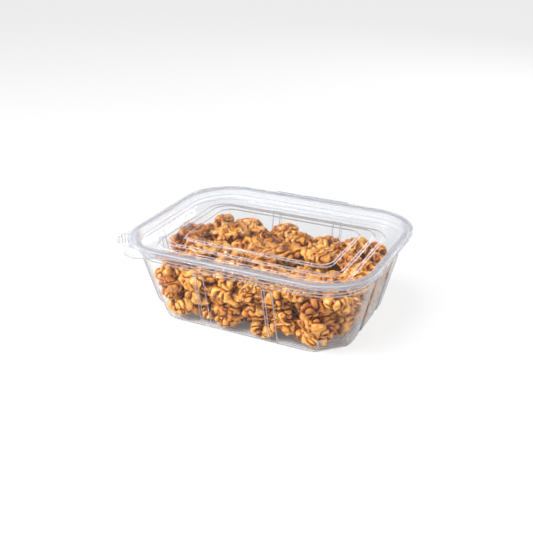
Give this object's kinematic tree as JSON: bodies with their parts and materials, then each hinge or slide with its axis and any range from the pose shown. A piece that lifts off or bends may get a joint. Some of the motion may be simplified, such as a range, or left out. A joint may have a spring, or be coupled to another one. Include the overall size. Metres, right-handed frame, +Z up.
{
  "type": "hinged clear plastic food pack of walnut halves",
  "caption": "Clear pressed-plastic clamshell food pack: tapered fluted tray, hinged recessed lid, front corner tabs, filled with shelled walnut halves",
  "frame": {"origin": "middle of the base's underside, on the surface it stands on", "axes": "+X along the pack's length, +Y to the hinge at the back, +Z up; the opening tabs are at the front left corner"},
  "size_m": [0.1925, 0.1596, 0.062],
  "materials": {
    "clear_sheet": "clear pressed PET sheet, glossy",
    "hinge_film": "clear PET, stretched thin, glossy",
    "walnut": "oily walnut skin, golden tan to brown"
  },
  "bodies": {
    "tray": {"tray": "clear_sheet", "hinge_web": "hinge_film", "walnut_half_01": "walnut", "walnut_half_02": "walnut", "walnut_half_03": "walnut", "walnut_half_04": "walnut", "walnut_half_05": "walnut", "walnut_half_06": "walnut", "walnut_half_07": "walnut", "walnut_half_08": "walnut", "walnut_half_09": "walnut", "walnut_half_10": "walnut", "walnut_half_11": "walnut", "walnut_half_12": "walnut", "walnut_half_13": "walnut", "walnut_half_14": "walnut", "walnut_half_15": "walnut", "walnut_half_16": "walnut", "walnut_half_17": "walnut", "walnut_half_18": "walnut", "walnut_half_19": "walnut", "walnut_half_20": "walnut", "walnut_half_21": "walnut", "walnut_half_22": "walnut", "walnut_half_23": "walnut", "walnut_half_24": "walnut", "walnut_half_25": "walnut", "walnut_half_26": "walnut", "walnut_half_27": "walnut", "walnut_half_28": "walnut", "walnut_half_29": "walnut", "walnut_half_30": "walnut", "walnut_half_31": "walnut", "walnut_half_32": "walnut", "walnut_half_33": "walnut", "walnut_half_34": "walnut", "walnut_half_35": "walnut", "walnut_half_36": "walnut", "walnut_half_37": "walnut", "walnut_half_38": "walnut", "walnut_half_39": "walnut", "walnut_half_40": "walnut", "walnut_half_41": "walnut", "walnut_half_42": "walnut", "walnut_half_43": "walnut", "walnut_half_44": "walnut", "walnut_half_45": "walnut", "walnut_half_46": "walnut", "walnut_half_47": "walnut", "walnut_half_48": "walnut", "walnut_half_49": "walnut", "walnut_half_50": "walnut", "walnut_half_51": "walnut", "walnut_half_52": "walnut", "walnut_half_53": "walnut", "walnut_half_54": "walnut", "walnut_half_55": "walnut", "walnut_half_56": "walnut", "walnuts_at_bottom": "walnut"},
    "lid": {"lid": "clear_sheet"}
  },
  "joints": [
    {"name": "lid_hinge", "type": "hinge", "parent": "tray", "child": "lid", "pos_m": [0, 0.0762, 0.0604], "axis": [-1, 0, 0], "range_deg": [0, 180]}
  ]
}
